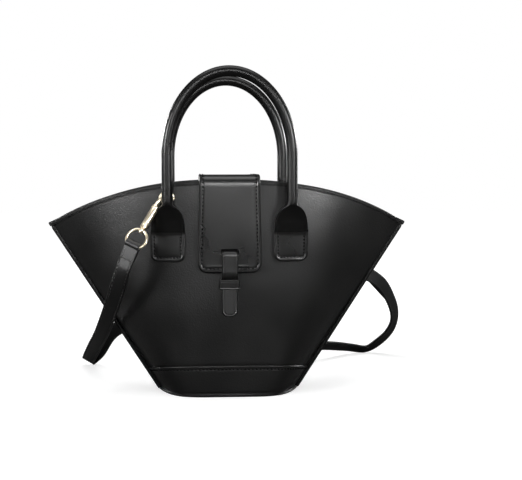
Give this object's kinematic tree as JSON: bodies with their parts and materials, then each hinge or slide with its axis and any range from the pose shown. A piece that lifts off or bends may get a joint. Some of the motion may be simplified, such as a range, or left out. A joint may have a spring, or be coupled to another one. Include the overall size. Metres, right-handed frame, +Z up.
{
  "type": "bucket sling bag",
  "caption": "Fan-shaped bucket bag on a flat base, with rolled top handles, a fold-over flap with a tuck-in tongue, and a detachable shoulder strap on swivel snap hooks.",
  "frame": {"origin": "middle of the base, on the plane where the bag stands", "axes": "+Z up, the front with the flap's tongue faces -Y, +X to the right seen from the front"},
  "size_m": [0.3232, 0.2516, 0.2707],
  "materials": {
    "black_leather": "fine pebbled black leather, satin",
    "rolled_leather": "smooth black leather, semi-gloss",
    "lining_cloth": "dark woven lining",
    "board": "pressed board, unseen",
    "pale_gold": "polished pale gold plating"
  },
  "bodies": {
    "bag": {"front_panel": "black_leather", "back_panel": "black_leather", "front_base_band": "black_leather", "back_base_band": "black_leather", "base_panel": "black_leather", "base_board": "board", "lining": "lining_cloth", "left_side_piping": "black_leather", "right_side_piping": "black_leather", "front_rim_binding": "black_leather", "back_rim_binding": "black_leather", "front_left_handle_tab": "rolled_leather", "front_right_handle_tab": "rolled_leather", "rear_left_handle_tab": "rolled_leather", "rear_right_handle_tab": "rolled_leather", "flap_back": "rolled_leather", "flap_back_lining": "rolled_leather", "keeper_loop": "rolled_leather", "front_hook_ring": "pale_gold", "rear_hook_ring": "pale_gold", "front_ring_keeper": "black_leather", "rear_ring_keeper": "black_leather", "shoulder_strap": "rolled_leather"},
    "front_handle": {"front_handle": "rolled_leather"},
    "rear_handle": {"rear_handle": "rolled_leather"},
    "flap_bridge": {"flap_bridge": "rolled_leather", "flap_bridge_lining": "rolled_leather"},
    "flap_front": {"flap_front": "rolled_leather", "flap_front_lining": "rolled_leather", "closure_tongue": "rolled_leather"},
    "front_hook": {"front_snap_hook": "pale_gold"},
    "front_gate": {"front_hook_gate": "pale_gold"},
    "front_eye": {"front_swivel_eye": "pale_gold", "front_strap_end": "rolled_leather"},
    "rear_hook": {"rear_snap_hook": "pale_gold"},
    "rear_gate": {"rear_hook_gate": "pale_gold"},
    "rear_eye": {"rear_swivel_eye": "pale_gold", "rear_strap_end": "rolled_leather"}
  },
  "joints": [
    {"name": "front_handle_lean", "type": "hinge", "parent": "bag", "child": "front_handle", "pos_m": [0, -0.0535, 0.157], "axis": [1, 0, 0], "range_deg": [-2.5, 75]},
    {"name": "rear_handle_lean", "type": "hinge", "parent": "bag", "child": "rear_handle", "pos_m": [0, 0.0535, 0.157], "axis": [-1, 0, 0], "range_deg": [-2.5, 75]},
    {"name": "flap_bridge_fold", "type": "hinge", "parent": "bag", "child": "flap_bridge", "pos_m": [0, 0.0458, 0.182], "axis": [-1, 0, 0], "range_deg": [0, 60], "deforming": ["closure_tongue"]},
    {"name": "flap_front_fold", "type": "hinge", "parent": "flap_bridge", "child": "flap_front", "pos_m": [0, -0.0458, 0.182], "axis": [-1, 0, 0], "range_deg": [0, 95], "deforming": ["closure_tongue"]},
    {"name": "front_hook_swing", "type": "hinge", "parent": "bag", "child": "front_hook", "pos_m": [-0.05568, -0.0468, 0.16242], "axis": [0, 1, 0], "range_deg": [0, 30], "deforming": ["shoulder_strap"]},
    {"name": "front_gate_press", "type": "hinge", "parent": "front_hook", "child": "front_gate", "pos_m": [-0.06013, -0.04505, 0.15501], "axis": [-0.8572, 0, 0.515], "range_deg": [0, 10], "stiffness_Nm_per_rad": 0.002},
    {"name": "front_eye_swivel", "type": "hinge", "parent": "front_hook", "child": "front_eye", "pos_m": [-0.05568, -0.0468, 0.16242], "axis": [-0.4925, -0.2924, -0.8197], "continuous": true, "deforming": ["shoulder_strap"]},
    {"name": "rear_hook_swing", "type": "hinge", "parent": "bag", "child": "rear_hook", "pos_m": [0.05568, 0.0468, 0.16242], "axis": [0, -1, 0], "range_deg": [0, 30], "deforming": ["shoulder_strap"]},
    {"name": "rear_gate_press", "type": "hinge", "parent": "rear_hook", "child": "rear_gate", "pos_m": [0.06013, 0.04505, 0.15501], "axis": [0.8572, 0, 0.515], "range_deg": [0, 10], "stiffness_Nm_per_rad": 0.002},
    {"name": "rear_eye_swivel", "type": "hinge", "parent": "rear_hook", "child": "rear_eye", "pos_m": [0.05568, 0.0468, 0.16242], "axis": [0.4925, 0.2924, -0.8197], "continuous": true, "deforming": ["shoulder_strap"]}
  ]
}
